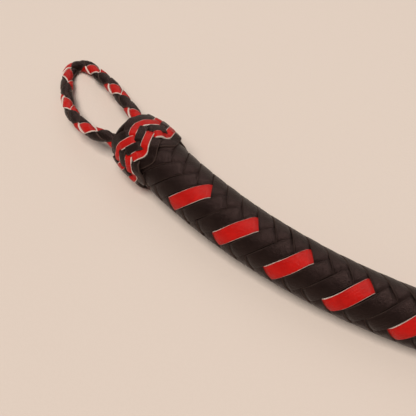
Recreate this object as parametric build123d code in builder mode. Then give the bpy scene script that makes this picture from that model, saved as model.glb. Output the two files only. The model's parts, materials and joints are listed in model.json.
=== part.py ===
from build123d import *
import math
import os

os.makedirs("parts", exist_ok=True)

# A plaited leather riding crop lying on a flat surface, z = 0. Millimetres, +Z up.
# It is built outwards from a rod: bolsters round the rod, a twelve-strand plait on the handle, an
# eight-strand plait on the shaft, a woven knot at each end of the handle, a hanging loop at the
# heel and a folded tongue at the tip. Stations along it are counted from the heel knot's face.

# ---- lengths along the crop
heel_knot_length = 24.0
handle_length = 163.0
fore_knot_length = 16.0
shaft_length = 214.0
tip_binding_length = 16.0
tongue_length = 82.0

# ---- how it bends, as it lies
handle_bend_radius = 232.0
shaft_bend_radius = 1200.0

# ---- core
rod_radius = 1.6
rod_fit = 0.05
rod_heel_depth = 3.0

# ---- handle plait
handle_heel_radius = 10.3
handle_fore_radius = 9.2
handle_strands = 12
handle_floats = 3
handle_pitch = 40.6
handle_pitch_growth = 0.03
handle_turned = -9.6
handle_strand_thickness = 0.85
handle_red_strands = (1, 4)

# ---- shaft plait
shaft_fore_radius = 6.3
shaft_tip_radius = 4.3
shaft_strands = 8
shaft_floats = 2
shaft_pitch = 36.0
shaft_pitch_growth = -0.04
shaft_turned = 10.0
shaft_strand_thickness = 0.75
shaft_red_strands = (0, 2)

# ---- plaits and knots alike
weave_gap = 0.28
strand_cover = 0.72
lace_cover = 0.7
lay_gap = 0.15

# ---- heel knot and fore knot
knot_bights = 6
lace_thickness = 0.95
rim_width = 1.4
rim_edge = 0.5
fold_width = 0.8
foundation_fit = 0.3
heel_rim_setback = 0.6
heel_crown_station = 14.0
heel_crown_radius = 13.1
heel_front_radius = 11.2
heel_back_radius = 12.6
heel_crossings = 10
fore_crown_radius = 11.8
fore_end_radius = 11.6
fore_crossings = 6

# ---- hanging loop
cord_radius = 2.5
loop_root_offset = 7.0
loop_hinge_reach = 3.0
tail_length = 16.0
tail_fit = 0.1
tail_binding_start = 8.0
tail_binding_length = 6.0
tail_binding_thickness = 0.45

# ---- tip and tongue
leaf_thickness = 1.8
leaf_gap = 0.2
tongue_root_width = 8.0
tongue_width = 26.0
tongue_flare = 30.0
tongue_corner = 4.0
binding_thread = 0.8
hinge_clearance = 0.3
hinge_seat = 1.2
stitch_length = 2.6
stitch_pitch = 4.0
stitch_thread = 0.4
stitch_inset = 2.6
stitch_fit = 0.03
floor_gap = 0.1

# ---- stations that follow from the lengths
heel_end = heel_knot_length
fore_start = heel_end + handle_length
fore_end = fore_start + fore_knot_length
tip_start = fore_end + shaft_length
tip_end = tip_start + tip_binding_length

layer_depth = 2 * lace_thickness + weave_gap
foundation_end = heel_end - 7.0
handle_plait_start = foundation_end + 0.6
handle_plait_end = fore_start + 6.5
shaft_plait_start = handle_plait_end + 1.5
shaft_plait_end = tip_start + 4.0
leaf_start = shaft_plait_end + 0.5
rod_start = rod_heel_depth
rod_end = tip_end + 0.5
leaf_end = rod_end + 1.8
binding_radius = math.hypot(tongue_root_width / 2, rod_radius + rod_fit + leaf_thickness) + lay_gap
tongue_thickness = 2 * leaf_thickness + leaf_gap
tongue_hinge = leaf_end + hinge_seat

# ---- heights of the centreline: both knots and the tip binding rest on the surface
heel_height = heel_crown_radius
fore_height = fore_crown_radius
tip_height = binding_radius + binding_thread


def advance(x, y, heading, length, radius):
    """The place and heading after a run of that length, bending left at that radius (0 is straight)."""
    if radius == 0:
        return x + length * math.cos(heading), y + length * math.sin(heading), heading
    after = heading + length / radius
    x += radius * (math.sin(after) - math.sin(heading))
    y -= radius * (math.cos(after) - math.cos(heading))
    return x, y, after


def lie(station, x, y, heading):
    """The centreline's place and heading at a station, for a heel face at x, y with that heading."""
    runs = (
        (heel_end, 0),
        (fore_start - heel_end, handle_bend_radius),
        (fore_end - fore_start, 0),
        (tip_start - fore_end, shaft_bend_radius),
    )
    for length, radius in runs:
        if station <= length:
            return advance(x, y, heading, station, radius)
        x, y, heading = advance(x, y, heading, length, radius)
        station -= length
    return advance(x, y, heading, station, 0)


# The crop lies with the chord from its heel's face to its tongue's end along X, and the middle of
# its outline, the hanging loop left out, over the origin.
crop_end = tongue_hinge + tongue_length
end_x, end_y, _ = lie(crop_end, 0, 0, 0)
face_x, face_y, _ = lie(heel_rim_setback, 0, 0, 0)
heel_heading = -math.atan2(end_y - face_y, end_x - face_x)
face_x, face_y, _ = lie(heel_rim_setback, 0, 0, heel_heading)
end_x, end_y, end_heading = lie(crop_end, 0, 0, heel_heading)
face_left = face_x + heel_front_radius * math.sin(heel_heading)
face_top = face_y + heel_front_radius * math.cos(heel_heading)
end_top = end_y + (tongue_width / 2 - tongue_corner) * math.cos(end_heading)
belly = lie((fore_start + fore_end) / 2, 0, 0, heel_heading)[1] - fore_crown_radius
heel_x = -(face_left + end_x) / 2
heel_y = -(max(face_top, end_top) + belly) / 2


def height(station):
    """Height of the centreline: level in the knots and at the tip, sloping gently between them."""
    if station <= fore_start:
        share = max(0, station - heel_end) / handle_length
        return heel_height + (fore_height - heel_height) * share
    share = min(1, max(0, station - fore_end) / shaft_length)
    return fore_height + (tip_height - fore_height) * share


def skin_point(station, angle, radius):
    """A point at a radius from the centreline, at an angle from straight up towards the crop's left."""
    x, y, heading = lie(station, heel_x, heel_y, heel_heading)
    left = radius * math.sin(angle)
    up = radius * math.cos(angle)
    return Vector(x - left * math.sin(heading), y + left * math.cos(heading), height(station) + up)


def cross_plane(station):
    """The plane across the crop at a station: its X is the crop's left, its Y is up, its Z is forward."""
    x, y, heading = lie(station, heel_x, heel_y, heel_heading)
    left = (-math.sin(heading), math.cos(heading), 0)
    forward = (math.cos(heading), math.sin(heading), 0)
    return Plane(origin=(x, y, height(station)), x_dir=left, z_dir=forward)


def side_plane(station):
    """The upright plane along the crop at a station: its X is forward, its Y is up."""
    across = cross_plane(station)
    return Plane(origin=across.origin, x_dir=across.z_dir, z_dir=-across.x_dir)


def stations(first, last, spacing=6.0):
    """Stations from first to last, those between on one grid that every piece shares."""
    inner = range(math.ceil((first + 0.5) / spacing), math.floor((last - 0.5) / spacing) + 1)
    return [first, *(spacing * i for i in inner), last]


def handle_radius(station):
    """Outer radius of the handle plait."""
    share = (station - heel_end) / handle_length
    return handle_heel_radius + (handle_fore_radius - handle_heel_radius) * max(0, share)


def shaft_radius(station):
    """Outer radius of the shaft plait."""
    share = (station - fore_end) / shaft_length
    return shaft_fore_radius + (shaft_tip_radius - shaft_fore_radius) * max(0, share)


def heel_radius(station):
    """Outer radius of the heel knot, a barrel that falls away faster at its face."""
    if station < heel_crown_station:
        share = (heel_crown_station - station) / (heel_crown_station - heel_rim_setback)
        return heel_crown_radius - (heel_crown_radius - heel_front_radius) * share**2
    share = (station - heel_crown_station) / (heel_end - heel_crown_station)
    return heel_crown_radius - (heel_crown_radius - heel_back_radius) * share**2


def fore_radius(station):
    """Outer radius of the fore knot, a shallow barrel."""
    share = (2 * station - fore_start - fore_end) / fore_knot_length
    return fore_crown_radius - (fore_crown_radius - fore_end_radius) * share**2


class Plait:
    """Flat strands woven round the centreline, half of them winding each way.

    Crossings are counted along the crop: a full turn of a strand meets as many crossings as there
    are strands. A strand floats over that many others, then dives under as many. From heel to tip,
    side 1 turns from the top towards the crop's left, and side -1 towards its right.
    """

    step = 0.25
    stretch = 6

    def __init__(
        self, start, strands, floats, pitch, growth, turned, radius, thickness, cover, shift=0
    ):
        self.start = start
        self.strands = strands
        self.floats = floats
        self.pitch = pitch
        self.growth = growth
        self.turned = math.radians(turned)
        self.radius = radius
        self.thickness = thickness
        self.half = cover / 2
        self.shift = shift

    def station(self, crossings):
        """Where along the crop a count of crossings is reached."""
        turns = crossings / self.strands
        if self.growth == 0:
            return self.start + self.pitch * turns
        return self.start + self.pitch * (math.exp(self.growth * turns) - 1) / self.growth

    def crossings(self, station):
        """How many crossings fit before a station, to a whole step."""
        run = (station - self.start) / self.pitch
        if self.growth != 0:
            run = math.log(1 + self.growth * run) / self.growth
        return math.floor(run * self.strands / self.step) * self.step

    def lift(self, index, met, side):
        """0 where a strand lies under the others, 1 where it lies over them, between on the ramps."""
        first = math.floor(met)
        ends = []
        for crossed in (first, first + 1):
            winding = side * (index - crossed) + self.shift
            leftward_over = winding % (2 * self.floats) < self.floats
            ends.append(1.0 if leftward_over == (side > 0) else 0.0)
        ramp = min(1, max(0, 2 * (met - first) - 0.5))
        return ends[0] + (ends[1] - ends[0]) * ramp

    def cuts(self, index, side, first, last):
        """Where a strand is divided, in steps. A long one is, in the middle of floats, where it is flat."""
        count = round((last - first) / self.step)
        cuts = [0, count]
        if last - first > 2 * self.stretch:
            middle = index - side * (self.floats - 1) / 2
            for i in range(count):
                met = first - index + i * self.step
                from_end = min(i, count - i) * self.step
                if (met - middle) % self.stretch == 0 and from_end > self.stretch / 2:
                    cuts.insert(-1, i)
        return cuts

    def strand(self, index, side, first, last):
        """One strand between two counts of crossings, as solids laid end to end and cut square."""
        cuts = self.cuts(index, side, first, last)
        sections = []
        for i in range(cuts[-1] + 1):
            met = first - index + i * self.step
            to_cut = min(abs(i - cut) for cut in cuts) * self.step
            square = max(0, 1 - to_cut / 1.5)
            corners = []
            for layer, order in ((1, (-1, -0.5, 0, 0.5, 1)), (0, (1, 0.5, 0, -0.5, -1))):
                for across in order:
                    own = index + across * self.half
                    other = met - across * self.half * square
                    station = self.station(own + other)
                    angle = self.turned - side * 2 * math.pi * (own - other) / self.strands
                    depth = 2 * self.thickness + weave_gap
                    depth -= self.lift(index, other, side) * (self.thickness + weave_gap)
                    radius = self.radius(station) - depth + layer * self.thickness
                    corners.append(skin_point(station, angle, radius))
            sections.append(corners)
        solids = []
        for start, end in zip(cuts, cuts[1:]):
            wires = [Wire.make_polygon(corners, close=True) for corners in sections[start : end + 1]]
            solids.append(Solid.make_loft(wires))
        return solids

    def fold(self, index, at, width):
        """The turned lace of a bight, that two arms run out against. It tapers over its width."""
        tip_spread = math.pi / 60
        sections = []
        for reach, spread in ((0, tip_spread + abs(width) / self.radius(self.station(at))), (width, tip_spread)):
            station = self.station(at) + reach
            angle = self.turned - 2 * math.pi * (2 * index - at) / self.strands
            top = self.radius(station)
            bottom = top - 2 * self.thickness - weave_gap
            corners = [
                skin_point(station, angle + across * spread, radius)
                for across, radius in ((-1, top), (1, top), (1, bottom), (-1, bottom))
            ]
            sections.append(Wire.make_polygon(corners, close=True))
        return Solid.make_loft(sections, ruled=True)


handle_plait = Plait(
    handle_plait_start,
    handle_strands,
    handle_floats,
    handle_pitch,
    handle_pitch_growth,
    handle_turned,
    handle_radius,
    handle_strand_thickness,
    strand_cover,
)
shaft_plait = Plait(
    shaft_plait_start,
    shaft_strands,
    shaft_floats,
    shaft_pitch,
    shaft_pitch_growth,
    shaft_turned,
    shaft_radius,
    shaft_strand_thickness,
    strand_cover,
)


def finish(piece, label):
    """Labels a finished piece and writes its STEP file."""
    piece.part.label = label
    export_step(piece.part, f"parts/{label}.step")


# ---- core rod: sprung glass fibre, from inside the heel knot to the tongue
with BuildPart() as core_rod:
    for s in stations(rod_start, rod_end):
        with BuildSketch(cross_plane(s)):
            Circle(rod_radius)
    loft(ruled=True)
finish(core_rod, "core_rod")


def bolster(first, last, radius):
    """A leather sleeve round the rod that the plait is laid on."""
    with BuildPart() as sleeve:
        for s in stations(first, last):
            with BuildSketch(cross_plane(s)):
                Circle(radius(s))
        loft(ruled=True)
        for s in stations(first, last):
            with BuildSketch(cross_plane(s)):
                Circle(rod_radius + rod_fit)
        loft(ruled=True, mode=Mode.SUBTRACT)
    return sleeve


handle_bolster = bolster(
    foundation_end + 0.4,
    handle_plait_end - 0.2,
    lambda s: handle_radius(s) - 2 * handle_strand_thickness - weave_gap - lay_gap,
)
finish(handle_bolster, "handle_bolster")

shaft_bolster = bolster(
    shaft_plait_start - 0.5,
    shaft_plait_end,
    lambda s: shaft_radius(s) - 2 * shaft_strand_thickness - weave_gap - lay_gap,
)
finish(shaft_bolster, "shaft_bolster")

# ---- plaits: each strand runs the whole length of its plait, the red ones winding one way
for plait, name, end, red_strands in (
    (handle_plait, "handle", handle_plait_end, handle_red_strands),
    (shaft_plait, "shaft", shaft_plait_end, shaft_red_strands),
):
    counts = {"red": 0, "black": 0}
    for side in (1, -1):
        for index in range(plait.strands // 2):
            colour = "red" if side == 1 and index in red_strands else "black"
            counts[colour] += 1
            with BuildPart() as strand:
                add(plait.strand(index, side, 0, plait.crossings(end)), mode=Mode.REPLACE)
            finish(strand, f"{name}_strand_{colour}_{counts[colour]:02d}")

# ---- heel foundation: the leather build-up under the heel knot, bored for the loop's two tails
with BuildPart() as heel_foundation:
    with BuildSketch(side_plane(0)):
        with BuildLine():
            shoulder = [
                (s, heel_radius(s) - layer_depth - foundation_fit)
                for s in stations(rod_heel_depth - 1.5, foundation_end, 3.0)
            ]
            Polyline((foundation_end, 0), (shoulder[0][0], 0), *shoulder, close=True)
        make_face()
    revolve(axis=Axis(cross_plane(0).origin, cross_plane(0).z_dir))
    with BuildSketch(cross_plane(rod_start - 0.3)):
        Circle(rod_radius + rod_fit)
    extrude(amount=foundation_end, mode=Mode.SUBTRACT)
    with BuildSketch(cross_plane(0)):
        with Locations((loop_root_offset, 0), (-loop_root_offset, 0)):
            Circle(cord_radius + tail_fit)
    extrude(amount=tail_length + tail_fit, mode=Mode.SUBTRACT)
    with BuildSketch(cross_plane(tail_binding_start - tail_fit)):
        SlotCenterToCenter(
            2 * loop_root_offset, 2 * (cord_radius + tail_binding_thickness + 2 * tail_fit)
        )
    extrude(amount=tail_binding_length + 2 * tail_fit, mode=Mode.SUBTRACT)
finish(heel_foundation, "heel_foundation")

# ---- loop tails: the two ends of the loop, laid along the rod inside the heel
with BuildPart() as loop_tails:
    with BuildSketch(cross_plane(0)):
        with Locations((loop_root_offset, 0), (-loop_root_offset, 0)):
            Circle(cord_radius)
    extrude(amount=tail_length)
finish(loop_tails, "loop_tails")

# ---- loop binding: waxed thread wound round both tails
with BuildPart() as loop_binding:
    with BuildSketch(cross_plane(tail_binding_start)):
        SlotCenterToCenter(
            2 * loop_root_offset, 2 * (cord_radius + tail_binding_thickness + tail_fit / 2)
        )
        SlotCenterToCenter(
            2 * loop_root_offset, 2 * (cord_radius + tail_fit / 2), mode=Mode.SUBTRACT
        )
    extrude(amount=tail_binding_length)
finish(loop_binding, "loop_binding")


def woven_knot(name, first, last, crossings, radius, turned, front_rim, back_rim):
    """A long knot of two laces: a black one from rim to rim, and a red one nested inside it.

    The black lace's arms run out against its rims, and the red lace's against the folds of its
    bights, two crossings further in. Arms, rims and folds stay solids of their own, face to face.
    """
    run = last - first - 2 * rim_width
    strands = 4 * knot_bights
    weave = Plait(
        first + rim_width,
        strands,
        2,
        run * strands / crossings,
        0,
        turned,
        radius,
        lace_thickness,
        lace_cover,
        shift=2,
    )
    with BuildPart() as black_lace:
        for start, direction, depth in ((first, 1, front_rim), (last, -1, back_rim)):
            inner = start + direction * rim_width
            with BuildSketch(side_plane(first)):
                with BuildLine():
                    Polyline(
                        (start - first, radius(start) - depth),
                        (start - first, radius(start) - rim_edge),
                        (start - first + rim_edge * direction, radius(start)),
                        (inner - first, radius(inner)),
                        (inner - first, radius(inner) - layer_depth),
                        close=True,
                    )
                make_face()
            revolve(axis=Axis(cross_plane(first).origin, cross_plane(first).z_dir))
        black_arms = [(i, side) for side in (1, -1) for i in range(0, strands // 2, 2)]
        laces = [
            lace for index, side in black_arms for lace in weave.strand(index, side, 0, crossings)
        ]
        add([*black_lace.part.solids(), *laces], mode=Mode.REPLACE)
    finish(black_lace, f"{name}_black")
    with BuildPart() as red_lace:
        red_arms = [(i, side) for side in (1, -1) for i in range(1, strands // 2, 2)]
        laces = [
            lace
            for index, side in red_arms
            for lace in weave.strand(index, side, 2, crossings - 2)
        ]
        for index in range(1, strands // 2, 2):
            laces.append(weave.fold(index, 2, -fold_width))
            laces.append(weave.fold(index, crossings - 2, fold_width))
        add(laces, mode=Mode.REPLACE)
    finish(red_lace, f"{name}_red")


woven_knot(
    "heel_knot",
    heel_rim_setback,
    heel_end,
    heel_crossings,
    heel_radius,
    0,
    heel_radius(heel_rim_setback) - loop_root_offset - cord_radius - lay_gap,
    layer_depth,
)

# ---- fore foundation: the build-up that carries the fore knot where the handle meets the shaft
with BuildPart() as fore_foundation:
    with BuildSketch(cross_plane(handle_plait_end + 0.5)):
        Circle(fore_end_radius - layer_depth - foundation_fit)
    extrude(amount=fore_end - handle_plait_end - 1.0)
    with BuildSketch(cross_plane(handle_plait_end + 0.5)):
        Circle(shaft_fore_radius + lay_gap)
    extrude(amount=fore_end - handle_plait_end - 1.0, mode=Mode.SUBTRACT)
finish(fore_foundation, "fore_foundation")

woven_knot(
    "fore_knot",
    fore_start,
    fore_end,
    fore_crossings,
    fore_radius,
    15,
    layer_depth,
    layer_depth,
)

# ---- tip binding: thread wound over the end of the shaft plait and the roots of the tongue
binding_turns = round(tip_binding_length / (1.25 * binding_thread))
with BuildPart() as tip_binding:
    with BuildSketch(side_plane(tip_start)):
        with BuildLine():
            turn_width = tip_binding_length / binding_turns
            for i in range(binding_turns):
                ThreePointArc(
                    (i * turn_width, binding_radius + binding_thread / 2),
                    ((i + 0.5) * turn_width, binding_radius + binding_thread),
                    ((i + 1) * turn_width, binding_radius + binding_thread / 2),
                )
            Polyline(
                (tip_binding_length, binding_radius + binding_thread / 2),
                (tip_binding_length, binding_radius),
                (leaf_start - tip_start - 0.2, binding_radius),
                (leaf_start - tip_start - 0.2, shaft_tip_radius + lay_gap),
                (0, shaft_tip_radius + lay_gap),
                (0, binding_radius + binding_thread / 2),
            )
        make_face()
    revolve(axis=Axis(cross_plane(tip_start).origin, cross_plane(tip_start).z_dir))
finish(tip_binding, "tip_binding")

# ---- tongue root: the two leaves of the folded tongue, clamped over the rod and meeting past its
# end, where a round seat takes the bend of the tongue
with BuildPart() as tongue_root:
    with BuildSketch(cross_plane(leaf_start)):
        leaf_middle = rod_radius + rod_fit + leaf_thickness / 2
        with Locations((0, leaf_middle), (0, -leaf_middle)):
            Rectangle(tongue_root_width, leaf_thickness)
    extrude(amount=leaf_end - leaf_start)
    with BuildSketch(cross_plane(rod_end + 0.2)):
        Rectangle(tongue_root_width, 2 * (rod_radius + rod_fit))
    extrude(amount=leaf_end - rod_end - 0.2)
    with BuildSketch(side_plane(tongue_hinge)):
        Circle(tongue_thickness / 2 + hinge_clearance)
    extrude(amount=tongue_root_width, both=True, mode=Mode.SUBTRACT)
finish(tongue_root, "tongue_root")

# ---- tongue: one strip of leather folded double, its fold at the free end, resting on the surface
hinge_plane = cross_plane(tongue_hinge)
free_height = tongue_thickness / 2 + floor_gap
droop = math.asin((tip_height - free_height) / tongue_length)
tongue_forward = hinge_plane.z_dir * math.cos(droop) - Vector(0, 0, math.sin(droop))
tongue_side = Plane(origin=hinge_plane.origin, x_dir=tongue_forward, z_dir=-hinge_plane.x_dir)
tongue_flat = Plane(
    origin=hinge_plane.origin, x_dir=tongue_forward, z_dir=tongue_side.y_dir
)
tongue_round = tongue_thickness / 2
stitch_start = tongue_flare + stitch_inset
stitch_count = int((tongue_length - tongue_corner - stitch_start) / stitch_pitch)
stitch_spots = [
    (stitch_start + i * stitch_pitch, side * (tongue_width / 2 - stitch_inset))
    for i in range(stitch_count)
    for side in (1, -1)
]
with BuildPart() as tongue_flap:
    with BuildSketch(tongue_side):
        with Locations((tongue_length / 2 - tongue_round / 2, 0)):
            SlotCenterToCenter(tongue_length - tongue_round, tongue_thickness)
            Rectangle(tongue_length - tongue_round, leaf_gap, mode=Mode.SUBTRACT)
    extrude(amount=tongue_width, both=True)
    with BuildSketch(tongue_flat.offset(-tongue_thickness)):
        with BuildLine():
            Polyline(
                (-tongue_round, -tongue_root_width / 2),
                (0, -tongue_root_width / 2),
                (tongue_flare, -tongue_width / 2),
                (tongue_length, -tongue_width / 2),
                (tongue_length, tongue_width / 2),
                (tongue_flare, tongue_width / 2),
                (0, tongue_root_width / 2),
                (-tongue_round, tongue_root_width / 2),
                close=True,
            )
        outline = make_face()
        fillet(outline.vertices().sort_by(Axis.X)[-2:], tongue_corner)
    extrude(amount=2 * tongue_thickness, mode=Mode.INTERSECT)
    for face, inwards in ((tongue_round, -1), (-tongue_round, 1)):
        with BuildSketch(tongue_flat.offset(face)):
            with Locations(*stitch_spots):
                SlotOverall(stitch_length + 2 * stitch_fit, 2 * (stitch_thread + stitch_fit))
        extrude(amount=inwards * (stitch_thread + 2 * stitch_fit), mode=Mode.SUBTRACT)
finish(tongue_flap, "tongue_flap")

# ---- tongue stitches: a row of thread along each edge, drawn into the leather of both faces
with BuildPart() as tongue_stitches:
    for face, inwards in ((tongue_round, -1), (-tongue_round, 1)):
        with BuildSketch(tongue_flat.offset(face + inwards * stitch_fit)):
            with Locations(*stitch_spots):
                SlotOverall(stitch_length, 2 * stitch_thread)
        extrude(amount=inwards * stitch_thread)
finish(tongue_stitches, "tongue_stitches")

# ---- hanging loop: a plaited cord, hinged at its two roots, whose far end lies on the surface.
# Each point of its route is a reach back from the roots and a distance to the crop's left.
loop_route = [
    (0.0, loop_root_offset),
    (6.5, loop_root_offset + 1.4),
    (16.5, 10.5),
    (27.0, 12.5),
    (37.0, 12.9),
    (46.4, 13.4),
    (50.8, 9.4),
    (50.0, 5.0),
    (44.5, 0.5),
    (36.0, -5.2),
    (27.0, -9.2),
    (17.5, -10.7),
    (8.4, -10.5),
    (3.4, -loop_root_offset - 1.9),
    (0.0, -loop_root_offset),
]
root_plane = cross_plane(-loop_hinge_reach)
loop_far = max(back for back, left in loop_route)
loop_droop = math.asin((heel_height - cord_radius - 0.05) / loop_far)
back_dir = -root_plane.z_dir * math.cos(loop_droop) - Vector(0, 0, math.sin(loop_droop))
route = [
    root_plane.origin + back_dir * back + root_plane.x_dir * left for back, left in loop_route
]
runs = [(after - before).length for before, after in zip(route, route[1:])]
turns = [
    (after - here).get_angle(here - before)
    for before, here, after in zip(route, route[1:], route[2:])
]
bends = [
    0.45 * min(before, after) / math.tan(math.radians(turn) / 2)
    for before, after, turn in zip(runs, runs[1:], turns)
]
with BuildPart() as hanging_loop:
    with BuildLine() as loop_line:
        FilletPolyline(*route, radius=bends)
    with BuildSketch(Plane(origin=route[0], z_dir=route[1] - route[0])):
        Circle(cord_radius)
    sweep()
    with Locations(route[0], route[-1]):
        Sphere(cord_radius)
finish(hanging_loop, "hanging_loop")

loop_length = loop_line.wires()[0].length
print("loop length", round(loop_length, 2), "bend radii", [round(b, 1) for b in bends])
print("loop route, mm", [tuple(round(c, 3) for c in point) for point in route])
print("tube volume", round(hanging_loop.part.volume, 1))
print("section times length", round(math.pi * cord_radius**2 * loop_length, 1))
print("loop hinge", root_plane.origin, root_plane.x_dir)
print("tongue hinge", hinge_plane.origin, hinge_plane.x_dir)
print("heel heading", round(math.degrees(heel_heading), 3), "heel", heel_x, heel_y)
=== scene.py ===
import bpy
import json
import math
import numpy as np
from mathutils import Matrix, Vector


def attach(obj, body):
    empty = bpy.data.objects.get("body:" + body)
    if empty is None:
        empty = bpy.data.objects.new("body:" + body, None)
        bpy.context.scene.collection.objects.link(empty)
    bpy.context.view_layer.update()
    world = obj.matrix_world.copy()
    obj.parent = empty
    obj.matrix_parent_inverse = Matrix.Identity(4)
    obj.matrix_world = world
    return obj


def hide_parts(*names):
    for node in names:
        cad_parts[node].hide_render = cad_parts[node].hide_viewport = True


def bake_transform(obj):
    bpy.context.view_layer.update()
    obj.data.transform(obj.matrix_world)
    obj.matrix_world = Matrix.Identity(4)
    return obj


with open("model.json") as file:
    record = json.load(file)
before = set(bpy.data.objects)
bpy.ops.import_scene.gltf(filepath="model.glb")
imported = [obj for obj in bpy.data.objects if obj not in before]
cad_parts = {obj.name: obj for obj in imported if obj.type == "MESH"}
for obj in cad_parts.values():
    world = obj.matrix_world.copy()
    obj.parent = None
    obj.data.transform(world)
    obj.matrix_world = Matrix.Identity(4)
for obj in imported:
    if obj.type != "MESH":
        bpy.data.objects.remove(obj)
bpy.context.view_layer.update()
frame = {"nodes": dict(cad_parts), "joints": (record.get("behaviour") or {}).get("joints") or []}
bpy.context.scene.view_settings.view_transform = "Standard"


# ---- Core rod: a drawn glass-fibre rod, cream coloured and slightly fibrous along its length. It
# runs from inside the heel knot to the root of the tongue, and everything else is built on it.
class Wire:
    """One output of a node, so that a finish can be written as sums and products of masks."""

    def __init__(self, finish, socket):
        self.finish = finish
        self.socket = socket

    def _with(self, operation, first, second):
        return self.finish.node("ShaderNodeMath", {"operation": operation}, {0: first, 1: second})

    def __add__(self, other):
        return self._with("ADD", self, other)

    def __radd__(self, other):
        return self._with("ADD", other, self)

    def __sub__(self, other):
        return self._with("SUBTRACT", self, other)

    def __mul__(self, other):
        return self._with("MULTIPLY", self, other)


class Finish:
    """A material whose nodes are added one at a time."""

    def __init__(self, name):
        self.material = bpy.data.materials.new(name)
        self.material.use_nodes = True
        self.tree = self.material.node_tree
        self.tree.nodes.clear()

    def node(self, kind, settings=None, sockets=None, output=0):
        """A new node with these settings, and a wire or a value at each of these sockets."""
        made = self.tree.nodes.new(kind)
        for key, value in (settings or {}).items():
            if key == "stops":
                while len(made.color_ramp.elements) < len(value):
                    made.color_ramp.elements.new(0.5)
                for element, (place, colour) in zip(made.color_ramp.elements, value):
                    element.position = place
                    element.color = colour
            else:
                setattr(made, key, value)
        for key, value in (sockets or {}).items():
            if isinstance(value, Wire):
                self.tree.links.new(value.socket, made.inputs[key])
            else:
                made.inputs[key].default_value = value
        return Wire(self, made.outputs[output])

    def mix(self, share, first, second):
        """A blend of two colours."""
        settings = {"data_type": "RGBA"}
        return self.node("ShaderNodeMix", settings, {0: share, 6: first, 7: second}, 2)

    def ramp(self, value, low, high):
        """A mask that is 0 below the low mark and 1 above the high one."""
        stops = [(low, (0, 0, 0, 1)), (high, (1, 1, 1, 1))]
        return self.node("ShaderNodeValToRGB", {"stops": stops}, {0: value})

    def place(self, stretch=(1, 1, 1)):
        """The place on the piece, in metres, stretched along its axes."""
        where = self.node("ShaderNodeTexCoord", output=3)
        return self.node("ShaderNodeVectorMath", {"operation": "MULTIPLY"}, {0: where, 1: stretch})

    def noise(self, where, scale, detail=2.0, rough=0.5):
        """An even, cloudy mask."""
        sockets = {"Vector": where, "Scale": scale, "Detail": detail, "Roughness": rough}
        return self.node("ShaderNodeTexNoise", {}, sockets)

    def surface(self, colour, roughness, height, depth, **constants):
        """The finished material, with its relief in metres."""
        sockets = {"Base Color": colour, "Roughness": roughness}
        sockets.update({key.replace("_", " "): value for key, value in constants.items()})
        bump = {"Height": height, "Strength": 1.0, "Distance": depth}
        sockets["Normal"] = self.node("ShaderNodeBump", {}, bump)
        shader = self.node("ShaderNodeBsdfPrincipled", {}, sockets)
        shown = self.tree.nodes.new("ShaderNodeOutputMaterial")
        self.tree.links.new(shader.socket, shown.inputs["Surface"])
        return self.material


def wear(piece, *materials):
    """The piece shows these materials, in the order its faces number them."""
    piece.data.materials.clear()
    for material in materials:
        piece.data.materials.append(material)


rod = Finish("glass fibre")
fibres = rod.noise(rod.place((40, 1200, 1200)), 1.0, 3.0)
rod_colour = rod.mix(fibres, (0.62, 0.6, 0.5, 1), (0.8, 0.78, 0.68, 1))
wear(frame["nodes"]["core_rod"], rod.surface(rod_colour, 0.32 + fibres * 0.15, fibres, 0.00005))

# ---- Bolsters and foundations: tapered leather sleeves rolled round the rod under the two plaits,
# and the build-up under the two knots. Their flesh side is near-black between the strands.
bolster = Finish("bolster leather")
nap = bolster.noise(bolster.place(), 900.0, 4.0, 0.7)
bolster_colour = bolster.mix(nap, (0.008, 0.006, 0.006, 1), (0.03, 0.022, 0.02, 1))
bolster_leather = bolster.surface(bolster_colour, 0.75 + nap * 0.2, nap, 0.0002)
for name in ("handle_bolster", "shaft_bolster", "heel_foundation", "fore_foundation"):
    wear(frame["nodes"][name], bolster_leather)

# ---- Handle plait: twelve strands of vegetable-tanned leather, ten black and two red, laid flat
# over three and under three. The red strands' cut edges stay undyed and show as pale lines.
# Runs, stations and bends of its centreline in millimetres, counted from the heel's face.
heel_end = 24.0
handle_run = 163.0
fore_knot_run = 16.0
shaft_run = 214.0
handle_end = heel_end + handle_run
shaft_start = handle_end + fore_knot_run
shaft_end = shaft_start + shaft_run
handle_bend_radius = 232.0
shaft_bend_radius = 1200.0
joints = {joint["name"]: joint for joint in frame["joints"]}
hinge_left = joints["loop_hinge"]["axis"]
heel_z = 1000 * joints["loop_hinge"]["pos_m"][2]
fore_z = 11.8
tip_z = 1000 * joints["tongue_hinge"]["pos_m"][2]
heading = math.atan2(-hinge_left[0], hinge_left[1])
x, y = (1000 * c for c in joints["loop_hinge"]["pos_m"][:2])

# The centreline as a fine table: place and heading at each station. The table starts well behind
# the heel's face, and the loop's hinge lies 3 mm behind that face.
table = []
table_start = -60
table_run = 600
tick = 0.25
hinge_behind = 3.0
x += (table_start + hinge_behind) * math.cos(heading)
y += (table_start + hinge_behind) * math.sin(heading)
for i in range(int(table_run / tick)):
    station = table_start + i * tick
    table.append((station, x, y, heading))
    middle = station + tick / 2
    if heel_end < middle < handle_end:
        heading += tick / handle_bend_radius
    if shaft_start < middle < shaft_end:
        heading += tick / shaft_bend_radius
    x += tick * math.cos(heading)
    y += tick * math.sin(heading)
table = np.array(table)


def on_crop(station, angle, radius):
    """Points round the crop's centreline, the angle counted from straight up towards its left."""
    at_x, at_y, at_heading = (np.interp(station, table[:, 0], table[:, i]) for i in (1, 2, 3))
    marks = (heel_end, handle_end, shaft_start, shaft_end)
    at_z = np.interp(station, marks, (heel_z, fore_z, fore_z, tip_z))
    left = radius * np.sin(angle)
    up = radius * np.cos(angle)
    points = (at_x - left * np.sin(at_heading), at_y + left * np.cos(at_heading), at_z + up)
    return np.stack(points, axis=-1)


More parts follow.
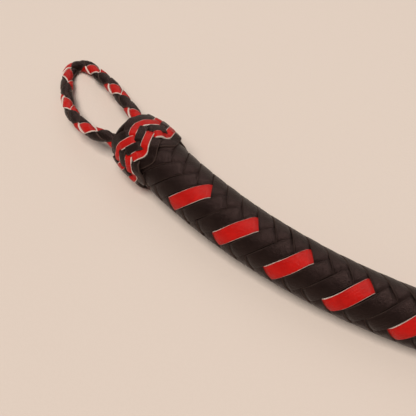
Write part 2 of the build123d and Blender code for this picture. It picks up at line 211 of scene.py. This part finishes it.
# A strand's cross-section: how far across it (-1 to 1), how high in its thickness, how raw.
strand_section = np.array(
    [
        (-1.0, 0.55, 1.0), (-0.985, 0.8, 1.0), (-0.94, 0.96, 1.0), (-0.87, 1.0, 0.9),
        (-0.8, 1.02, 0.0), (-0.45, 1.07, 0.0), (0.0, 1.1, 0.0), (0.45, 1.07, 0.0),
        (0.8, 1.02, 0.0), (0.87, 1.0, 0.9), (0.94, 0.96, 1.0), (0.985, 0.8, 1.0),
        (1.0, 0.55, 1.0), (1.0, 0.15, 1.0),
        (0.9, 0.0, 0.5), (0.0, 0.0, 0.0), (-0.9, 0.0, 0.5), (-1.0, 0.15, 1.0),
    ]
)
# Its raw edges show wide on the loop and the knots, and thin on the tightly drawn plaits.
wide_edges = strand_section[:, 2]
thin_edges = np.interp(abs(strand_section[:, 0]), (0.88, 0.94, 0.985), (0.0, 0.62, 1.0))
thin_edges *= wide_edges > 0


def strand_mesh(name, rows, raw, closed=False, lift=None):
    """A tube from rows of points in millimetres. Its finish reads, at each point, how raw its edge is,
    how far along and across the strand it is, and how deep it has dived under others, which it darkens
    as painted shade."""
    count, around = rows.shape[:2]
    faces = []
    for i in range(count if closed else count - 1):
        after = (i + 1) % count
        for j in range(around):
            beside = (j + 1) % around
            here, there = i * around, after * around
            faces.append((here + j, here + beside, there + beside, there + j))
    if not closed:
        faces.append(tuple(range(around))[::-1])
        faces.append(tuple((count - 1) * around + j for j in range(around)))
    mesh = bpy.data.meshes.new(name)
    mesh.from_pydata((rows.reshape(-1, 3) * 0.001).tolist(), [], faces)

    def mark(attribute, values):
        held = mesh.attributes.new(attribute, "FLOAT", "POINT")
        held.data.foreach_set("value", values.astype(np.float32))

    run = np.linalg.norm(np.diff(rows.mean(axis=1), axis=0), axis=1)
    along = np.concatenate([[0], np.cumsum(run)]) * 0.001
    across = np.linspace(0, 1, around, endpoint=False)
    mark("raw", np.tile(raw, count))
    mark("along", np.repeat(along, around))
    # How far the strand lies under others, which its finish darkens as painted shade.
    if lift is not None:
        mark("hidden", np.repeat(1 - lift.ravel(), around))
    mark("across", np.tile(across, count))
    mesh.polygons.foreach_set("use_smooth", [True] * len(mesh.polygons))
    return mesh


def piece_from(name, meshes):
    """One object from several meshes, with all their faces turned outwards."""
    made = []
    for mesh in meshes:
        thing = bpy.data.objects.new(name, mesh)
        bpy.context.scene.collection.objects.link(thing)
        made.append(thing)
    bpy.ops.object.select_all(action="DESELECT")
    for thing in made:
        thing.select_set(True)
    bpy.context.view_layer.objects.active = made[0]
    if len(made) > 1:
        bpy.ops.object.join()
    bpy.ops.object.mode_set(mode="EDIT")
    bpy.ops.mesh.select_all(action="SELECT")
    bpy.ops.mesh.normals_make_consistent(inside=False)
    bpy.ops.object.mode_set(mode="OBJECT")
    piece = bpy.context.view_layer.objects.active
    piece.name = name
    piece.select_set(False)
    return piece


def waver(at, seed, size):
    """A hand-laid strand's slow waver, as three waves of different lengths."""
    slow = np.sin(at * 0.9 + seed * 2.1)
    middling = 0.6 * np.sin(at * 2.3 + seed * 4.7)
    quick = 0.4 * np.sin(at * 4.1 + seed)
    return size * (slow + middling + quick)


def smooth(share):
    """A ramp from 0 to 1 with soft ends."""
    share = np.clip(share, 0, 1)
    return share * share * (3 - 2 * share)


def rise(away):
    """How far up a strand has come, this share of a crossing after it left the lower layer."""
    return smooth((away - 0.22) / 0.62)


# The clearance between a strand and one that it crosses, and how finely a strand is laid.
layer_gap = 0.22
rows_per_crossing = 11


class Plait:
    """A round plait on a centreline. Half its strands wind each way, and each floats over as many
    others as it then dives under. The pitch is one turn's length at the start, and grows by the
    share in growth with each turn. Thickness and gap are in millimetres, and width is a share of
    the step from one strand to the next."""

    def __init__(
        self, place, start, strands, floats, pitch, growth, turned, radius, thickness, width,
        gap=layer_gap, edges=thin_edges,
    ):
        self.place = place
        self.start = start
        self.strands = strands
        self.floats = floats
        self.pitch = pitch
        self.growth = growth
        self.turned = math.radians(turned)
        self.radius = radius
        self.thickness = thickness
        self.width = width
        self.gap = gap
        self.edges = edges

    def station(self, crossings):
        """Where a strand is after this many crossings."""
        turns = crossings / self.strands
        if self.growth == 0:
            return self.start + self.pitch * turns
        return self.start + self.pitch * (np.exp(self.growth * turns) - 1) / self.growth

    def crossings(self, station):
        """How many crossings a strand has made by this station."""
        run = (station - self.start) / self.pitch
        if self.growth != 0:
            run = math.log(1 + self.growth * run) / self.growth
        return run * self.strands

    def over(self, index, crossed, side):
        """1 where this strand passes over the one that it crosses, and 0 where under."""
        left_over = (side * (index - crossed)) % (2 * self.floats) < self.floats
        return np.where(left_over == (side > 0), 1.0, 0.0)

    def lift(self, index, met, side):
        """How far up a strand lies, from 0 in the lower layer to 1 in the upper one."""
        first = np.floor(met)
        here = self.over(index, first, side)
        there = self.over(index, first + 1, side)
        share = met - first
        away = np.where(here < there, share, 1 - share)
        return np.where(here == there, here, rise(away))

    def strand(self, name, index, side, first, last, seed, rows=rows_per_crossing, width=None):
        """One strand's mesh between two counts of crossings, with a slow waver of its own in its
        width, its course and its height."""
        count = int((last - first) * rows)
        met = (-index + np.linspace(first, last, count))[:, None]
        section = strand_section[None, :, :]
        half = (width or self.width) / 2 * (1 + waver(met, seed + index * 3 + side, 0.015))
        own = index + section[..., 0] * half + waver(met, seed + index * 5 + side * 7, 0.012)
        station = self.station(own + met)
        angle = self.turned - side * 2 * math.pi * (own - met) / self.strands
        lift = self.lift(index, met, side)
        depth = 2 * self.thickness + self.gap - lift * (self.thickness + self.gap)
        proud = waver(met, seed + index * 11 + side, 0.03)
        radius = self.radius(station) - depth + section[..., 1] * self.thickness + proud
        return strand_mesh(name, self.place(station, angle, radius), self.edges, lift=lift)


def leather(name, deep, light, raw, rough, shine, tint):
    """Dyed strand leather: mottled dye, fine grain and creases, streaks along it, raw cut edges, and
    painted shade where it dives under other strands.
    """
    skin = Finish(name)
    where = skin.place()
    along = skin.node("ShaderNodeAttribute", {"attribute_name": "along"}, output=2)
    across = skin.node("ShaderNodeAttribute", {"attribute_name": "across"}, output=2)
    cut = skin.node("ShaderNodeAttribute", {"attribute_name": "raw"}, output=2)
    hidden = skin.node("ShaderNodeAttribute", {"attribute_name": "hidden"}, output=2)
    lengthways = skin.node("ShaderNodeCombineXYZ", {}, {0: along * 90.0, 1: across * 60.0, 2: 0.0})
    fibre = skin.noise(lengthways, 1.6, 3.0, 0.6)
    mottle = skin.noise(where, 260.0, 3.0, 0.6)
    creases = skin.noise(where, 1100.0, 5.0, 0.7)
    pores = skin.node("ShaderNodeTexVoronoi", {}, {"Vector": where, "Scale": 2600.0})
    tone = mottle * 0.5 + fibre * 0.25 + creases * 0.25
    face = skin.mix(skin.ramp(tone, 0.3, 0.75), deep, light)
    edge = skin.ramp(cut + (creases - 0.5) * 0.5, 0.55, 0.8)
    # Where a strand dives under others, its colour is darkened to near black: painted shade in the gaps
    # between strands.
    in_shade = (0.002, 0.0015, 0.0015, 1)
    colour = skin.mix(skin.ramp(hidden, 0.62, 0.9), skin.mix(edge, face, raw), in_shade)
    roughness = rough + mottle * 0.12 + edge * 0.3
    height = creases * 0.6 + pores * 0.35 + fibre * 0.5
    return skin.surface(colour, roughness, height, 0.00034, Specular_IOR_Level=shine, Specular_Tint=tint)


black_leather = leather(
    "black leather",
    deep=(0.0035, 0.0018, 0.0015, 1),
    light=(0.014, 0.008, 0.0065, 1),
    raw=(0.05, 0.032, 0.026, 1),
    rough=0.3,
    shine=0.25,
    tint=(1.0, 0.62, 0.57, 1),
)
red_leather = leather(
    "red leather",
    deep=(0.34, 0.003, 0.002, 1),
    light=(0.6, 0.008, 0.005, 1),
    raw=(0.72, 0.6, 0.52, 1),
    rough=0.36,
    shine=0.22,
    tint=(1.0, 0.8, 0.75, 1),
)

handle_plait = Plait(
    place=on_crop,
    start=17.6,
    strands=12,
    floats=3,
    pitch=40.6,
    growth=0.03,
    turned=-9.6,
    radius=lambda s: 10.3 - 1.1 * np.clip((s - heel_end) / handle_run, 0, 1),
    thickness=0.85,
    width=0.95,
)


def lay_plait(plait, prefix, end, red_strands, let_in, seed):
    """Every strand of a plait, in place of its CAD node. A red strand is let in after so many
    crossings, and is black before."""
    last = plait.crossings(end)
    counts = {"red": 0, "black": 0}
    for side in (1, -1):
        for index in range(plait.strands // 2):
            colour = "red" if side == 1 and index in red_strands else "black"
            counts[colour] += 1
            number = f"{counts[colour]:02d}"
            name = f"{prefix}_lace_{colour}_{number}"
            lace = plait.strand(name, index, side, 0, last, seed)
            piece = piece_from(name, [lace])
            wear(piece, red_leather if colour == "red" else black_leather, black_leather)
            black_faces = let_in * rows_per_crossing * len(strand_section)
            for face in piece.data.polygons:
                face.material_index = 1 if face.index < black_faces else 0
            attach(piece, "crop")
            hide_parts(f"{prefix}_strand_{colour}_{number}")


lay_plait(handle_plait, "handle", end=193.0, red_strands=(1, 4), let_in=4, seed=6)

# ---- Shaft plait: eight narrower strands of the same leather, over two and under two, drawn down
# to the tip as the bolster under them tapers. Two of them are red, as on the handle.
shaft_plait = Plait(
    place=on_crop,
    start=195.0,
    strands=8,
    floats=2,
    pitch=36.0,
    growth=-0.04,
    turned=10.0,
    radius=lambda s: 6.3 - 2.0 * np.clip((s - shaft_start) / shaft_run, 0, 1),
    thickness=0.75,
    width=0.95,
)
lay_plait(shaft_plait, "shaft", end=420.8, red_strands=(0, 2), let_in=0, seed=5)

# ---- Loop tails and their binding: inside the heel the loop's two ends lie along the rod and are
# bound to it with waxed thread, before the knot is woven over them.
thread = Finish("waxed thread")
twist = thread.node(
    "ShaderNodeTexWave",
    {"bands_direction": "DIAGONAL"},
    {"Vector": thread.place(), "Scale": 700.0, "Distortion": 1.0},
)
thread_colour = thread.mix(twist, (0.01, 0.009, 0.009, 1), (0.045, 0.04, 0.038, 1))
waxed_thread = thread.surface(thread_colour, 0.45 + twist * 0.2, twist, 0.0001)
wear(frame["nodes"]["loop_tails"], bolster_leather)
wear(frame["nodes"]["loop_binding"], waxed_thread)

# ---- Heel knot: leather laces woven round the foundation, over two and under two. The black lace
# turns at both rims, and the red ones turn two crossings further in, so they show as zigzag rings.
class Knot:
    """A woven knot: laces that zigzag round a barrel between two rings of turned bights. The turn
    says how wide each bight is rounded."""

    def __init__(self, first, last, crossings, radius, turned, turn):
        self.first = first
        self.advance = (last - first) / crossings
        self.radius = radius
        self.turned = math.radians(turned)
        self.turn = turn
        self.thickness = 0.95
        self.crossings = crossings
        self.spacing = math.radians(15)
        # The bights stand half up at the front rim, and are drawn down at the rear one.
        self.front_lift = 0.5
        self.rear_lift = 0.1
        self.rows = 14

    def over(self, left, right):
        """Whether the strand that winds to the left passes over the one that winds to the right."""
        return (left - right + 1) % 4 < 2

    def crosses(self, own, other, met):
        """Whether a strand meets another one here, as the red laces keep clear of both rims."""
        inside = 2 < met < self.crossings - 2
        return inside or (own % 2 == 0 and other % 2 == 0)

    def lace(self, name, low, high, start, bights, width, seed):
        """A closed lace between two counts of crossings, from the turn with this lattice index."""
        run = high - low
        marks, lifts = [0.0], [self.front_lift]
        left, right = start, low - start
        for bight in range(bights):
            for i in range(1, run):
                if self.crosses(right, left + i, low + i):
                    marks.append(2 * bight * run + i)
                    lifts.append(0.0 if self.over(left + i, right) else 1.0)
            left += run
            marks.append((2 * bight + 1) * run)
            lifts.append(self.rear_lift)
            for i in range(1, run):
                if self.crosses(left, right - i, high - i):
                    marks.append((2 * bight + 1) * run + i)
                    lifts.append(1.0 if self.over(left, right - i) else 0.0)
            right -= run
            marks.append(2 * (bight + 1) * run)
            lifts.append(self.front_lift)
        marks = np.array(marks, float)
        lifts = np.array(lifts)

        u = np.linspace(0, 2 * bights * run, 2 * bights * run * self.rows, endpoint=False)
        sharpness = 1 - (math.pi * self.turn / run) ** 2 / 2
        wave = np.arcsin(sharpness * np.cos(math.pi * u / run)) * 2 / math.pi
        station = self.first + self.advance * (low + run / 2 * (1 - wave))
        angle = self.turned + self.spacing * (2 * start - low + u)
        hub = self.radius(station) - self.thickness / 2
        forward = np.gradient(station)
        sweep = np.gradient(u) * self.spacing * hub
        length = np.hypot(forward, sweep)

        before = np.clip(np.searchsorted(marks, u, side="right") - 1, 0, len(marks) - 2)
        here, there = lifts[before], lifts[before + 1]
        share = (u - marks[before]) / (marks[before + 1] - marks[before])
        away = np.where(here < there, share, 1 - share)
        lift = np.minimum(here, there) + np.abs(there - here) * rise(away)
        reach = strand_section[None, :, 0] * (width / 2 * (1 + waver(u, seed, 0.02)))[:, None]
        s = station[:, None] - (sweep / length)[:, None] * reach + waver(u, seed + 3, 0.05)[:, None]
        a = angle[:, None] + (forward / length / hub)[:, None] * reach
        depth = 2 * self.thickness + layer_gap - lift[:, None] * (self.thickness + layer_gap)
        r = self.radius(s) - depth + strand_section[None, :, 1] * self.thickness
        return strand_mesh(name, on_crop(s, a, r), wide_edges, closed=True)


def heel_barrel(s):
    """The heel knot's outer radius at a station, widest at its crown and drawn in to both rims."""
    crown = 13.5
    front = 12.75 - 1.6 * (np.clip(crown - s, 0, 20) / 12.0) ** 2
    return front - 0.75 * (np.clip(s - crown, 0, 12) / 9.0) ** 2


def welt(name, station, radius, fat):
    """A rolled ring of leather under a knot's turned bights."""
    turn = np.linspace(0, 2 * math.pi, 97)[:-1][:, None]
    bead = np.linspace(0, 2 * math.pi, 17)[:-1][None, :]
    s = station + fat * np.sin(bead) + 0 * turn
    r = radius + fat * np.cos(bead) + 0 * turn
    return strand_mesh(name, on_crop(s, turn + 0 * bead, r), np.zeros(16), closed=True)


heel_knot = Knot(first=3.3, last=22.3, crossings=10, radius=heel_barrel, turned=0, turn=0.42)
knot_black = piece_from(
    "heel_knot_black_lace",
    [
        heel_knot.lace("black lace", 0, 10, 0, bights=6, width=3.5, seed=1),
        welt("front welt", 3.2, radius=9.6, fat=0.9),
    ],
)
wear(knot_black, black_leather)
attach(knot_black, "crop")
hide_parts("heel_knot_black")
knot_red = piece_from(
    "heel_knot_red_lace",
    [
        heel_knot.lace("red lace", 2, 8, 1 + 2 * i, bights=2, width=3.35, seed=5 + i)
        for i in range(3)
    ],
)
wear(knot_red, red_leather)
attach(knot_red, "crop")
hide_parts("heel_knot_red")

# ---- Fore knot: the same weave in a shorter ring, which hides the end of the handle plait and the
# start of the shaft plait.
fore_knot = Knot(
    first=188.4,
    last=201.6,
    crossings=6,
    radius=lambda s: 11.8 - 0.2 * ((s - 195.0) / 8.0) ** 2,
    turned=15,
    turn=0.62,
)
fore_black = piece_from(
    "fore_knot_black_lace",
    [
        *(
            fore_knot.lace("black lace", 0, 6, 2 * i, bights=2, width=3.6, seed=11 + i)
            for i in range(3)
        ),
        welt("front welt", 188.0, radius=10.1, fat=0.9),
        welt("back welt", 202.0, radius=10.1, fat=0.9),
    ],
)
wear(fore_black, black_leather)
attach(fore_black, "crop")
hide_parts("fore_knot_black")
fore_red = piece_from(
    "fore_knot_red_lace",
    [fore_knot.lace("red lace", 2, 4, 1, bights=6, width=3.3, seed=15)],
)
wear(fore_red, red_leather)
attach(fore_red, "crop")
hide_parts("fore_knot_red")

# ---- Tip binding: waxed black thread wound close over the end of the shaft plait and the tongue's
# two roots, each turn lying against the last.
def winding(name, first, turns, radius, fat):
    """A thread wound close round the crop, one turn lying against the last."""
    turn = np.linspace(0, turns, turns * 48 + 1)[:, None]
    bead = np.linspace(0, 2 * math.pi, 11)[:-1][None, :]
    s = first + fat + 2 * fat * turn + fat * np.sin(bead)
    r = radius + fat * np.cos(bead) + 0 * turn
    return strand_mesh(name, on_crop(s, 2 * math.pi * turn + 0 * bead, r), np.zeros(10))


tip_thread = piece_from(
    "tip_winding",
    [
        winding("outer layer", shaft_end, turns=15, radius=5.75, fat=0.5),
        winding("inner layer", shaft_end + 0.3, turns=15, radius=4.8, fat=0.5),
    ],
)
wear(tip_thread, waxed_thread)
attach(tip_thread, "crop")
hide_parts("tip_binding")

# ---- Tongue: one strip of black leather folded double, its fold at the free end. Its roots are
# clamped under the binding, and a row of thread along each edge holds the two leaves together.
flap = joints["tongue_hinge"]
flap_at = 1000 * Vector(flap["pos_m"])
flap_left = Vector(flap["axis"])
leaf = 1.8
leaf_gap = 0.2
flap_thick = 2 * leaf + leaf_gap
flap_long = 82.0
flap_wide = 26.0
root_wide = 8.0
flare_run = 30.0
corner_radius = 4.0
floor_gap = 0.1
droop = math.asin((tip_z - flap_thick / 2 - floor_gap) / flap_long)
level = Vector((flap_left.y, -flap_left.x, 0))
flap_on = level * math.cos(droop) - Vector((0, 0, math.sin(droop)))
flap_up = flap_on.cross(flap_left)


def on_flap(along, across, up):
    """Points on the tongue, from its hinge, in millimetres."""
    parts = [np.asarray(v, float)[..., None] for v in np.broadcast_arrays(along, across, up)]
    axes = [np.array(v) for v in (flap_on, flap_left, flap_up)]
    return np.array(flap_at) + sum(part * axis for part, axis in zip(parts, axes))


def half_width(along):
    """The tongue's half width, flared from its root and rounded at its corners."""
    flare = np.interp(along, (0, flare_run), (root_wide / 2, flap_wide / 2))
    corner = np.clip(along - (flap_long - corner_radius), 0, corner_radius)
    return flare - (corner_radius - np.sqrt(corner_radius**2 - corner**2))


# The folded strip's outline from the side: its top, round the fold, its underside, and back
# between the two leaves.
round_end = flap_thick / 2
bend = np.linspace(math.pi / 2, -math.pi / 2, 13)[1:-1]
lengths = np.linspace(-0.4, flap_long - round_end, 46)
tops = [(along, round_end) for along in lengths]
fold = [(flap_long - round_end + round_end * math.cos(t), round_end * math.sin(t)) for t in bend]
inner = [(flap_long - round_end, leaf_gap / 2), (flap_long - round_end, -leaf_gap / 2)]
inside = [(along, leaf_gap / 2) for along in lengths[:-1]]
outline = tops + fold + [(a, -u) for a, u in tops[::-1]] + [(a, -u) for a, u in inside]
outline += inner[::-1] + inside[::-1]
# The shares of its half width where that outline is laid, and how far its outer faces are rounded
# off there.
spread = np.array([-1, -0.985, -0.95, -0.8, -0.5, 0, 0.5, 0.8, 0.95, 0.985, 1])
edge_drop = np.array([0.5, 0.16, 0.03, 0, 0, 0, 0, 0, 0.03, 0.16, 0.5])
outer_face = 0.5
strip_rows = []
for share, drop in zip(spread, edge_drop):
    row = []
    for along, up in outline:
        lifted = up - math.copysign(drop, up) if abs(up) > outer_face else up
        row.append(on_flap(along, share * half_width(along), lifted))
    strip_rows.append(row)
tongue = piece_from(
    "tongue_strip", [strand_mesh("tongue strip", np.array(strip_rows), np.zeros(len(outline)))]
)
wear(tongue, black_leather)
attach(tongue, "tongue")
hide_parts("tongue_flap")
wear(frame["nodes"]["tongue_root"], black_leather)

# Its stitches: one oblong bead of thread, copied in four rows.
stitch_first = 32.6
stitch_pitch = 4.0
stitch_row = 10.4
stitches_in_row = 11
stitch_sunk = 0.1
bpy.ops.object.select_all(action="DESELECT")
bpy.ops.mesh.primitive_uv_sphere_add(segments=20, ring_count=12, radius=0.0004)
stitch = bpy.context.active_object
bpy.ops.object.mode_set(mode="EDIT")
bpy.ops.mesh.select_all(action="SELECT")
bpy.ops.transform.resize(value=(3.4, 1.0, 0.8))
bpy.ops.object.mode_set(mode="OBJECT")
bpy.ops.object.shade_smooth()
stitches = []
lie = Matrix((flap_on, flap_left, flap_up)).transposed().to_4x4()
for face in (1, -1):
    for side in (1, -1):
        for i in range(stitches_in_row):
            copy = stitch.copy()
            copy.data = stitch.data.copy()
            bpy.context.scene.collection.objects.link(copy)
            along = stitch_first + stitch_pitch * i
            spot = on_flap(along, side * stitch_row, face * (flap_thick / 2 - stitch_sunk))
            copy.matrix_world = Matrix.Translation(Vector(spot) * 0.001) @ lie
            stitches.append(copy)
bpy.data.objects.remove(stitch)
for copy in stitches:
    copy.select_set(True)
bpy.context.view_layer.objects.active = stitches[0]
bpy.ops.object.join()
bpy.ops.object.transform_apply(location=True, rotation=True, scale=True)
sewing = bpy.context.active_object
sewing.name = "tongue_sewing"
wear(sewing, waxed_thread)
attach(sewing, "tongue")
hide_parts("tongue_stitches")

# ---- Hanging loop: a plaited cord of four strands, two black and two red, with pale cut edges. Its
# ends go into the heel between the rod and the knot, and its far end lies on the surface.
loop_thick = 5.3
loop_route = [
    (-0.240203, 0.035316, 0.0131),
    (-0.244225, 0.038287, 0.0131),
    (-0.248508, 0.043190, 0.011750),
    (-0.255129, 0.050691, 0.009673),
    (-0.262202, 0.058402, 0.007493),
    (-0.269833, 0.064536, 0.005416),
    (-0.276932, 0.070401, 0.003464),
    (-0.282771, 0.069740, 0.002550),
    (-0.284755, 0.065736, 0.002716),
    (-0.283101, 0.058920, 0.003858),
    (-0.279800, 0.049395, 0.005624),
    (-0.275094, 0.040947, 0.007493),
    (-0.268511, 0.034220, 0.009466),
    (-0.261232, 0.029092, 0.011356),
    (-0.256347, 0.027473, 0.012394),
    (-0.252543, 0.027025, 0.0131),
    (-0.248521, 0.024054, 0.0131),
]
loop_curve = bpy.data.curves.new("loop route", "CURVE")
loop_curve.dimensions = "3D"
loop_curve.resolution_u = 48
spline = loop_curve.splines.new("NURBS")
spline.points.add(len(loop_route) - 1)
for point, place in zip(spline.points, loop_route):
    point.co = (*place, 1)
spline.order_u = 3
spline.use_endpoint_u = True
loop_guide = bpy.data.objects.new("loop route", loop_curve)
bpy.context.scene.collection.objects.link(loop_guide)
line = bpy.data.meshes.new_from_object(loop_guide)
loop_path = np.array([vertex.co for vertex in line.vertices])
bpy.data.objects.remove(loop_guide)

ahead = np.gradient(1000 * loop_path, axis=0)
ahead /= np.linalg.norm(ahead, axis=1)[:, None]
loop_station = np.concatenate(
    [[0], np.cumsum(np.linalg.norm(np.diff(1000 * loop_path, axis=0), axis=1))]
)
# A side direction carried along the line without twisting about it.
sides = [np.cross((0, 0, 1), ahead[0])]
for direction in ahead[1:]:
    carried = sides[-1] - np.dot(sides[-1], direction) * direction
    sides.append(carried / np.linalg.norm(carried))
sides = np.array(sides)
ups = np.cross(ahead, sides)
# How far the whole cord is twisted, in degrees, at these distances along it.
twist_marks = (40, 60, 90)
twist_degrees = (15, 40, -15)


def on_loop(station, angle, radius):
    """Points round the loop's centreline."""
    station = np.clip(station, 0, loop_station[-1]) + 0 * angle

    def along(values):
        return np.stack([np.interp(station, loop_station, values[:, i]) for i in range(3)], axis=-1)

    angle = angle + np.interp(station, twist_marks, np.radians(twist_degrees))
    out = np.cos(angle)[..., None] * along(ups) + np.sin(angle)[..., None] * along(sides)
    return along(1000 * loop_path) + radius[..., None] * out


loop_plait = Plait(
    place=on_loop,
    start=5.7,
    strands=4,
    floats=1,
    pitch=20.0,
    growth=0,
    turned=0.0,
    radius=lambda s: loop_thick / 2 + 0 * s,
    thickness=0.9,
    width=0.94,
    gap=0.1,
    edges=wide_edges,
)
loop_first, loop_last = loop_plait.crossings(0.0), loop_plait.crossings(loop_station[-1])
loop_laces = {"black": [], "red": []}
lace_widths = (("red", 0.84), ("black", 1.08))
for side in (1, -1):
    for index, (colour, width) in enumerate(lace_widths[::side]):
        lace = loop_plait.strand(
            "lace", index, side, loop_first, loop_last, seed=31, rows=16, width=width
        )
        loop_laces[colour].append(lace)
for colour, material in (("black", black_leather), ("red", red_leather)):
    piece = piece_from(f"loop_{colour}_laces", loop_laces[colour])
    wear(piece, material)
    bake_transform(piece)
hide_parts("hanging_loop", "loop_tails")

# ---- Surface: a plain, pale, matt floor with a slight warmth. A soft key light stands high on the
# camera's side, and a broad pale sheen opposite it shows only as reflections on the leather.
bpy.ops.mesh.primitive_plane_add(size=20)
floor = bpy.context.active_object
floor.name = "floor"
ground = Finish("plain floor")
cloud = ground.noise(ground.place(), 3.0, 2.0)
speckle = ground.noise(ground.place(), 900.0, 2.0)
darker_floor = (0.66, 0.556, 0.48, 1)
lighter_floor = (0.72, 0.617, 0.543, 1)
ground_colour = ground.mix(cloud * 0.6 + speckle * 0.15, darker_floor, lighter_floor)
wear(floor, ground.surface(ground_colour, 0.8, speckle, 0.00006))


def soft_light(name, place, size, power):
    """A square, slightly warm area light that looks at the handle's heel end."""
    bpy.ops.object.light_add(type="AREA", location=place)
    lamp = bpy.context.active_object
    lamp.name = name
    lamp.data.shape = "SQUARE"
    lamp.data.size = size
    lamp.data.energy = power
    lamp.data.color = (1.0, 0.96, 0.92)
    lamp.rotation_euler = (lit_point - Vector(place)).to_track_quat("-Z", "Y").to_euler()
    return lamp


lit_point = Vector((-0.15, 0.0, 0.0))
key = soft_light("key", (-0.53, -1.15, 4.16), size=1.98, power=183.0)
key.visible_glossy = False
sheen = soft_light("sheen", (0.17, 1.92, 3.52), size=3.2, power=225.0)
sheen.visible_diffuse = False
room = bpy.context.scene.world or bpy.data.worlds.new("room")
bpy.context.scene.world = room
room.use_nodes = True
room.node_tree.nodes["Background"].inputs["Color"].default_value = (1.0, 0.95, 0.9, 1)
room.node_tree.nodes["Background"].inputs["Strength"].default_value = 0.2

# ---- Camera: close above the heel, looking along the handle.
bpy.ops.object.camera_add(location=(-0.1877, -0.0990, 0.1930))
camera = bpy.context.active_object
camera.rotation_euler = (math.radians(30), 0, math.radians(11.35))
camera.data.lens = 48.98
camera.data.sensor_width = 36
camera.data.clip_start = 0.005
bpy.context.scene.camera = camera
